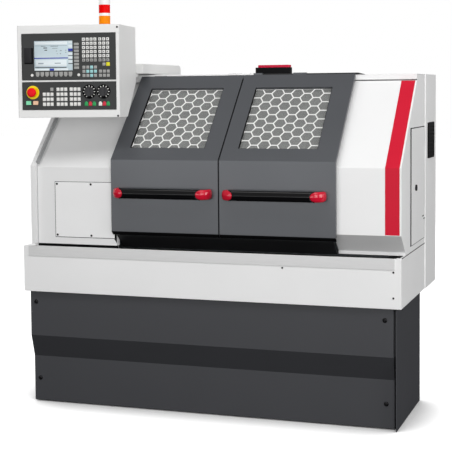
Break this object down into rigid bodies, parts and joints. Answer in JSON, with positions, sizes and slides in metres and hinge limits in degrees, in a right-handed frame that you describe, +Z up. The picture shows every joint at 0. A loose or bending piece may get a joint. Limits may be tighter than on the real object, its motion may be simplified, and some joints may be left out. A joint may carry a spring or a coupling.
{
  "type": "cnc turning lathe",
  "caption": "Enclosed flat-bed turning lathe with sliding windowed doors, a swivelling control console, chuck, tool turret and tailstock over a chip tray and stand.",
  "frame": {"origin": "on the floor under the middle of the tray's length, 290 mm behind the tray's front face", "axes": "+X along the spindle from headstock to tailstock, +Y to the back of the machine, +Z up"},
  "size_m": [1.7103, 0.9639, 1.797],
  "materials": {
    "stand_paint": "satin powder coat",
    "white_paint": "satin powder coat",
    "door_paint": "satin powder coat",
    "brushed_trim": "brushed",
    "cast_grey": "machine enamel",
    "ground_steel": "ground",
    "black_steel": "black oxide",
    "motor_black": "matt enamel",
    "belt_rubber": "ribbed rubber",
    "rail_dark": "satin",
    "clear_pane": "clear",
    "handle_black": "fine grain",
    "handle_red": "moulded",
    "console_paint": "fine texture powder coat",
    "panel_grey": "moulded",
    "stop_red": "moulded",
    "start_green": "moulded",
    "button_orange": "moulded",
    "black_plastic": "moulded",
    "lamp_lens": "moulded lenses"
  },
  "bodies": {
    "machine": {"base_frame": "stand_paint", "base_front_cover": "stand_paint", "coolant_tank": "ground_steel", "coolant_pump": "motor_black", "chip_tray": "white_paint", "tray_trim_strip": "brushed_trim", "bed": "cast_grey", "headstock": "cast_grey", "drive_belt": "belt_rubber", "main_motor": "motor_black", "z_servo_motor": "motor_black", "left_cover": "white_paint", "left_access_plate": "white_paint", "right_cover": "white_paint", "rear_wall": "white_paint", "roof_panel": "white_paint", "door_rails": "rail_dark", "electrical_cabinet": "white_paint", "filter_grille": "black_plastic", "interlock_switch": "black_plastic", "console_arm": "console_paint"},
    "left_door": {"left_door": "door_paint", "left_window_guard": "white_paint", "left_window_pane": "clear_pane", "left_handle_bar": "handle_black", "left_handle_ends": "handle_red"},
    "right_door": {"right_door": "door_paint", "right_window_guard": "white_paint", "right_window_pane": "clear_pane", "right_handle_bar": "handle_black", "right_handle_ends": "handle_red"},
    "spindle": {"spindle": "ground_steel", "spindle_pulley": "ground_steel", "chuck_body": "ground_steel"},
    "jaw_1": {"chuck_jaw_1": "ground_steel"},
    "jaw_2": {"chuck_jaw_2": "ground_steel"},
    "jaw_3": {"chuck_jaw_3": "ground_steel"},
    "motor_rotor": {"motor_pulley": "ground_steel"},
    "carriage": {"carriage": "cast_grey", "x_servo_motor": "motor_black"},
    "cross_slide": {"cross_slide": "ground_steel"},
    "turret": {"tool_turret": "black_steel", "turning_tools": "ground_steel"},
    "z_screw": {"z_ball_screw": "ground_steel"},
    "x_screw": {"x_ball_screw": "ground_steel"},
    "tailstock": {"tailstock": "cast_grey"},
    "quill": {"quill": "ground_steel"},
    "handwheel": {"quill_handwheel": "ground_steel"},
    "side_hatch": {"side_hatch": "white_paint"},
    "hatch_lock": {"hatch_lock": "black_steel"},
    "cabinet_door": {"cabinet_door": "white_paint"},
    "console": {"console_housing": "console_paint", "operator_panel": "panel_grey", "machine_panel": "panel_grey", "signal_tower": "lamp_lens"},
    "emergency_stop": {"emergency_stop": "stop_red"},
    "start_button": {"start_button": "start_green"},
    "stop_button": {"stop_button": "button_orange"},
    "feed_knob": {"feed_knob": "black_plastic"},
    "speed_knob": {"speed_knob": "black_plastic"}
  },
  "joints": [
    {"name": "left_door_slide", "type": "slide", "parent": "machine", "child": "left_door", "axis": [-1, 0, 0], "range_m": [0, 0.3]},
    {"name": "right_door_slide", "type": "slide", "parent": "machine", "child": "right_door", "axis": [1, 0, 0], "range_m": [0, 0.2]},
    {"name": "spindle_spin", "type": "hinge", "parent": "machine", "child": "spindle", "pos_m": [0, 0.02, 1.06], "axis": [1, 0, 0], "continuous": true},
    {"name": "motor_spin", "type": "hinge", "parent": "machine", "child": "motor_rotor", "pos_m": [-0.78, 0.191, 0.78], "axis": [1, 0, 0], "continuous": true},
    {"name": "jaw_1_slide", "type": "slide", "parent": "spindle", "child": "jaw_1", "axis": [0, 0, 1], "range_m": [-0.004, 0.006]},
    {"name": "jaw_2_slide", "type": "slide", "parent": "spindle", "child": "jaw_2", "axis": [0, -0.866, -0.5], "range_m": [-0.004, 0.006]},
    {"name": "jaw_3_slide", "type": "slide", "parent": "spindle", "child": "jaw_3", "axis": [0, 0.866, -0.5], "range_m": [-0.004, 0.006]},
    {"name": "carriage_slide", "type": "slide", "parent": "machine", "child": "carriage", "axis": [1, 0, 0], "range_m": [-0.16, 0.19]},
    {"name": "z_screw_spin", "type": "hinge", "parent": "machine", "child": "z_screw", "pos_m": [0, -0.13, 0.85], "axis": [1, 0, 0], "continuous": true},
    {"name": "cross_slide_move", "type": "slide", "parent": "carriage", "child": "cross_slide", "axis": [0, 1, 0], "range_m": [-0.08, 0.07]},
    {"name": "x_screw_spin", "type": "hinge", "parent": "carriage", "child": "x_screw", "pos_m": [0.01, 0, 0.928], "axis": [0, 1, 0], "continuous": true},
    {"name": "turret_index", "type": "hinge", "parent": "cross_slide", "child": "turret", "pos_m": [0.01, -0.115, 1], "axis": [0, 0, 1], "continuous": true},
    {"name": "tailstock_slide", "type": "slide", "parent": "machine", "child": "tailstock", "axis": [1, 0, 0], "range_m": [-0.06, 0.06]},
    {"name": "handwheel_spin", "type": "hinge", "parent": "tailstock", "child": "handwheel", "pos_m": [0.65, 0.02, 1.06], "axis": [-1, 0, 0], "range_deg": [0, 5760]},
    {"name": "quill_slide", "type": "slide", "parent": "tailstock", "child": "quill", "axis": [-1, 0, 0], "range_m": [0, 0.0801]},
    {"name": "hatch_swing", "type": "hinge", "parent": "machine", "child": "side_hatch", "pos_m": [0.854, 0.243, 0.985], "axis": [0, 0, 1], "range_deg": [0, 95]},
    {"name": "hatch_lock_turn", "type": "hinge", "parent": "side_hatch", "child": "hatch_lock", "pos_m": [0.852, 0.01, 0.977], "axis": [1, 0, 0], "range_deg": [0, 90]},
    {"name": "cabinet_door_swing", "type": "hinge", "parent": "machine", "child": "cabinet_door", "pos_m": [-0.55, 0.534, 0.983], "axis": [0, 0, 1], "range_deg": [0, 110]},
    {"name": "console_swivel", "type": "hinge", "parent": "machine", "child": "console", "pos_m": [-0.45, 0, 1.466], "axis": [0, 0, 1], "range_deg": [-20, 15]},
    {"name": "emergency_stop_press", "type": "slide", "parent": "console", "child": "emergency_stop", "axis": [-0.1542, 0.988, 0], "range_m": [0, 0.006], "stiffness_N_per_m": 900},
    {"name": "start_press", "type": "slide", "parent": "console", "child": "start_button", "axis": [-0.1542, 0.988, 0], "range_m": [0, 0.003], "stiffness_N_per_m": 700},
    {"name": "stop_press", "type": "slide", "parent": "console", "child": "stop_button", "axis": [-0.1542, 0.988, 0], "range_m": [0, 0.003], "stiffness_N_per_m": 700},
    {"name": "feed_knob_turn", "type": "hinge", "parent": "console", "child": "feed_knob", "pos_m": [-0.48434, -0.3535, 1.3946], "axis": [0.1542, -0.988, 0], "range_deg": [-135, 135]},
    {"name": "speed_knob_turn", "type": "hinge", "parent": "console", "child": "speed_knob", "pos_m": [-0.42209, -0.34379, 1.3946], "axis": [0.1542, -0.988, 0], "range_deg": [-135, 135]}
  ],
  "couplings": [
    {"joint": "motor_spin", "follows": "spindle_spin", "ratio": 1.5},
    {"joint": "jaw_2_slide", "follows": "jaw_1_slide", "ratio": 1},
    {"joint": "jaw_3_slide", "follows": "jaw_1_slide", "ratio": 1},
    {"joint": "z_screw_spin", "follows": "carriage_slide", "rad_per_m": 628.32},
    {"joint": "x_screw_spin", "follows": "cross_slide_move", "rad_per_m": 1256.6},
    {"joint": "quill_slide", "follows": "handwheel_spin", "m_per_rad": 0.00079577}
  ]
}
